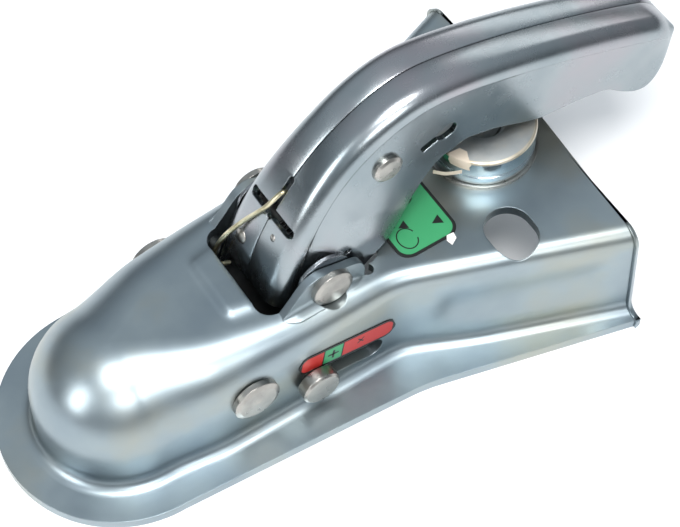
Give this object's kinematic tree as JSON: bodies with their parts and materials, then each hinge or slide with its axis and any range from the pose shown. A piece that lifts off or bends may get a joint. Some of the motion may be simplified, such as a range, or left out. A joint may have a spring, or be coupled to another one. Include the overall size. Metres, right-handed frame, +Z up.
{
  "type": "trailer coupling head",
  "caption": "Pressed-steel trailer coupling head with ball cup, arched lifting handle, swinging ball jaw, sliding wear pin in side slots and a clamping disc.",
  "frame": {"origin": "centre of the 50 mm towing ball when it sits in the cup", "axes": "+X forward to the rounded nose, +Y to the left side, +Z up away from the drawbar"},
  "size_m": [0.264, 0.14, 0.1097],
  "materials": {
    "zinc_housing": "zinc plated pressed sheet, satin",
    "zinc_handle": "bright zinc plated pressed sheet",
    "bright_pins": "turned and zinc plated",
    "spring_wire": "yellowish passivated spring wire",
    "bush_bronze": "plain sintered bush",
    "dark_steel": "blackened steel",
    "disc_steel": "turned steel with tape residue",
    "label_green": "printed sticker",
    "label_red": "printed sticker"
  },
  "bodies": {
    "coupling_body": {"housing": "zinc_housing", "pivot_pin": "bright_pins", "pivot_spring": "spring_wire", "jaw_rivet": "bright_pins", "jaw_bush": "bush_bronze", "jaw_washers": "bright_pins", "jaw_spring": "spring_wire", "clamp_disc": "disc_steel", "disc_base_washer": "bright_pins", "clamp_screw": "dark_steel", "clamp_nut_washer": "bright_pins", "clamp_nut": "bright_pins", "instruction_label": "label_green", "indicator_label": "label_red"},
    "handle": {"handle_left_shell": "zinc_handle", "handle_right_shell": "zinc_handle", "handle_rivet": "bright_pins", "handle_rivet_sleeve": "bright_pins", "lever_plate_left": "zinc_handle", "lever_plate_right": "zinc_handle"},
    "wear_slide": {"indicator_pin": "bright_pins", "indicator_pin_washer": "bright_pins", "locking_slide": "dark_steel"},
    "jaw": {"ball_jaw": "dark_steel"}
  },
  "joints": [
    {"name": "handle_lift", "type": "hinge", "parent": "coupling_body", "child": "handle", "pos_m": [-0.0705, 0, 0.033], "axis": [0, 1, 0], "range_deg": [0, 36]},
    {"name": "pin_slide", "type": "slide", "parent": "coupling_body", "child": "wear_slide", "axis": [-0.9877, 0, -0.1564], "range_m": [0, 0.0234]},
    {"name": "jaw_swing", "type": "hinge", "parent": "coupling_body", "child": "jaw", "pos_m": [-0.0345, 0, 0.007], "axis": [0, 1, 0], "range_deg": [0, 18]}
  ],
  "couplings": [
    {"joint": "pin_slide", "follows": "handle_lift", "m_per_rad": 0.0372},
    {"joint": "jaw_swing", "follows": "handle_lift", "ratio": 0.499}
  ]
}
